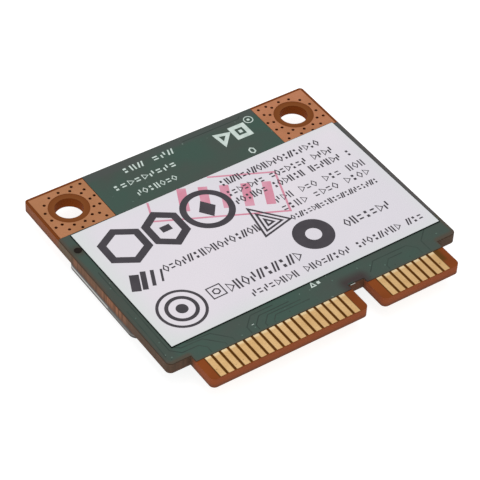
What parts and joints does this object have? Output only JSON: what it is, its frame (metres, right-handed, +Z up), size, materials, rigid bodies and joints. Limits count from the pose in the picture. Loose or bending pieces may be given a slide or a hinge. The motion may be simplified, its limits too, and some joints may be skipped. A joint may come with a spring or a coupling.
{
  "type": "laptop wifi card",
  "caption": "Half-length plug-in wireless card for a laptop: keyed contact edge, screw holes at the back corners, blank label on top, shielded circuit and antenna jacks below.",
  "frame": {"origin": "under the middle of the board, on the outer face of the shield lid that the card rests on", "axes": "+X along the card's width, towards the short contact row; +Y from the contact edge to the screw holes; +Z up, out of the label"},
  "size_m": [0.03, 0.0268, 0.0027],
  "materials": {
    "laminate": "bare glass-filled laminate, satin",
    "green_mask": "dark green solder mask, semi-gloss",
    "bare_copper": "bare copper with a clear preservative, matt",
    "gold_contact": "gold plate, satin",
    "label_paper": "coated white paper, matt",
    "shield_sheet": "tinned sheet, satin",
    "solder": "tin solder, bright",
    "jack_moulding": "cream moulding, matt",
    "jack_plating": "gold plate, bright",
    "chip_moulding": "black moulding, matt",
    "filter_ceramic": "pale ceramic, matt",
    "capacitor_ceramic": "tan ceramic, satin",
    "inductor_ferrite": "dark ferrite, matt",
    "resistor_glaze": "black glaze, glossy"
  },
  "bodies": {
    "root": {"antenna_filter_bodies": "filter_ceramic", "antenna_filter_end_caps": "solder", "antenna_jack_base_left": "jack_moulding", "antenna_jack_base_right": "jack_moulding", "antenna_jack_pin_left": "jack_plating", "antenna_jack_pin_right": "jack_plating", "antenna_jack_shell_left": "jack_plating", "antenna_jack_shell_right": "jack_plating", "board_laminate": "laminate", "bulk_capacitor_bodies": "capacitor_ceramic", "bulk_capacitor_end_caps": "solder", "ceramic_capacitor_bodies": "capacitor_ceramic", "ceramic_capacitor_end_caps": "solder", "contacts_component_side_long_row": "gold_contact", "contacts_component_side_short_row": "gold_contact", "contacts_label_side_long_row": "gold_contact", "contacts_label_side_short_row": "gold_contact", "coupling_capacitor_bodies": "capacitor_ceramic", "coupling_capacitor_end_caps": "solder", "crystal_case": "filter_ceramic", "crystal_lands": "solder", "crystal_lid": "shield_sheet", "front_end_chip_left_body": "chip_moulding", "front_end_chip_left_leads": "solder", "front_end_chip_right_body": "chip_moulding", "front_end_chip_right_leads": "solder", "matching_inductor_bodies": "filter_ceramic", "matching_inductor_end_caps": "solder", "memory_chip_body": "chip_moulding", "memory_chip_leads": "solder", "paper_label": "label_paper", "power_inductor_bodies": "inductor_ferrite", "power_inductor_end_caps": "solder", "radio_chip_body": "chip_moulding", "radio_chip_leads": "solder", "regulator_body": "chip_moulding", "regulator_leads": "solder", "resistor_bodies": "resistor_glaze", "resistor_end_caps": "solder", "screw_pad_left": "bare_copper", "screw_pad_right": "bare_copper", "shield_frame": "shield_sheet", "shield_ground_ring": "solder", "shield_lid": "shield_sheet", "solder_mask_component_side": "green_mask", "solder_mask_label_side": "green_mask"}
  },
  "joints": []
}
